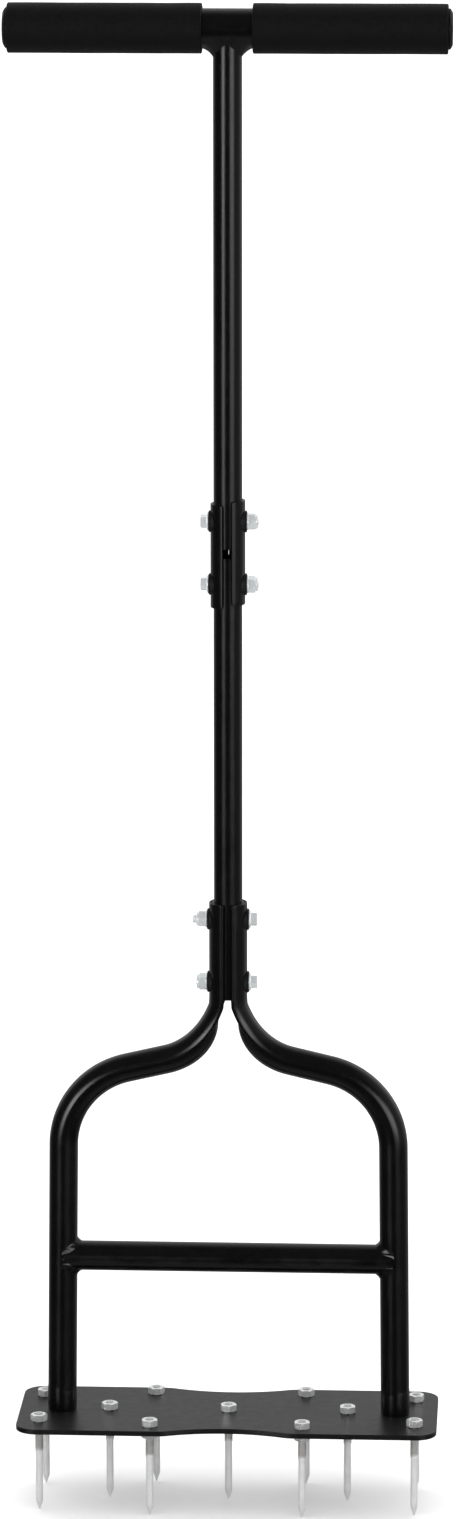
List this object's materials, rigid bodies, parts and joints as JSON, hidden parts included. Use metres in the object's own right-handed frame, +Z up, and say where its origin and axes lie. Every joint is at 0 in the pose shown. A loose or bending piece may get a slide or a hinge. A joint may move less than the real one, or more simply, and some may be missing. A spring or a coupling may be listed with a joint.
{
  "type": "lawn aerator fork",
  "caption": "Hand lawn aerator: T handle with foam grips on a bolted two-piece shaft, bent legs with a foot bar, and a waisted base plate with pointed spikes.",
  "frame": {"origin": "on the shaft's axis, at the height of the spike tips", "axes": "+Z up along the shaft, +X along the handle crossbar, -Y the front"},
  "size_m": [0.2924, 0.098, 1.0158],
  "materials": {
    "black_powder_coat": "satin black powder coat over steel",
    "grip_foam": "matte black foam rubber",
    "black_plastic": "matte black moulded plastic",
    "bolt_zinc": "bright zinc plated steel",
    "spike_zinc": "satin zinc plated steel"
  },
  "bodies": {
    "root": {"handle_crossbar": "black_powder_coat", "grip_left": "grip_foam", "grip_right": "grip_foam", "end_cap_left": "black_plastic", "end_cap_right": "black_plastic", "upper_shaft": "black_powder_coat", "handle_weld": "black_powder_coat", "lower_shaft": "black_powder_coat", "splice_plate_left": "black_powder_coat", "splice_plate_right": "black_powder_coat", "mid_joint_upper_bolt": "bolt_zinc", "mid_joint_upper_nut": "bolt_zinc", "mid_joint_upper_washer_left": "black_plastic", "mid_joint_upper_washer_right": "black_plastic", "mid_joint_lower_bolt": "bolt_zinc", "mid_joint_lower_nut": "bolt_zinc", "mid_joint_lower_washer_left": "black_plastic", "mid_joint_lower_washer_right": "black_plastic", "low_joint_upper_bolt": "bolt_zinc", "low_joint_upper_nut": "bolt_zinc", "low_joint_upper_washer_left": "black_plastic", "low_joint_upper_washer_right": "black_plastic", "low_joint_lower_bolt": "bolt_zinc", "low_joint_lower_nut": "bolt_zinc", "low_joint_lower_washer_left": "black_plastic", "low_joint_lower_washer_right": "black_plastic", "leg_left": "black_powder_coat", "leg_right": "black_powder_coat", "foot_weld_left": "black_powder_coat", "foot_weld_right": "black_powder_coat", "foot_bar": "black_powder_coat", "foot_bar_weld_left": "black_powder_coat", "foot_bar_weld_right": "black_powder_coat", "base_plate": "black_powder_coat", "spike_front_outer_left": "spike_zinc", "nut_front_outer_left": "bolt_zinc", "spike_front_inner_left": "spike_zinc", "nut_front_inner_left": "bolt_zinc", "spike_front_outer_right": "spike_zinc", "nut_front_outer_right": "bolt_zinc", "spike_front_inner_right": "spike_zinc", "nut_front_inner_right": "bolt_zinc", "spike_rear_outer_left": "spike_zinc", "nut_rear_outer_left": "bolt_zinc", "spike_rear_inner_left": "spike_zinc", "nut_rear_inner_left": "bolt_zinc", "spike_rear_outer_right": "spike_zinc", "nut_rear_outer_right": "bolt_zinc", "spike_rear_inner_right": "spike_zinc", "nut_rear_inner_right": "bolt_zinc", "spike_middle_left": "spike_zinc", "nut_middle_left": "bolt_zinc", "spike_middle": "spike_zinc", "nut_middle": "bolt_zinc", "spike_middle_right": "spike_zinc", "nut_middle_right": "bolt_zinc"}
  },
  "joints": []
}
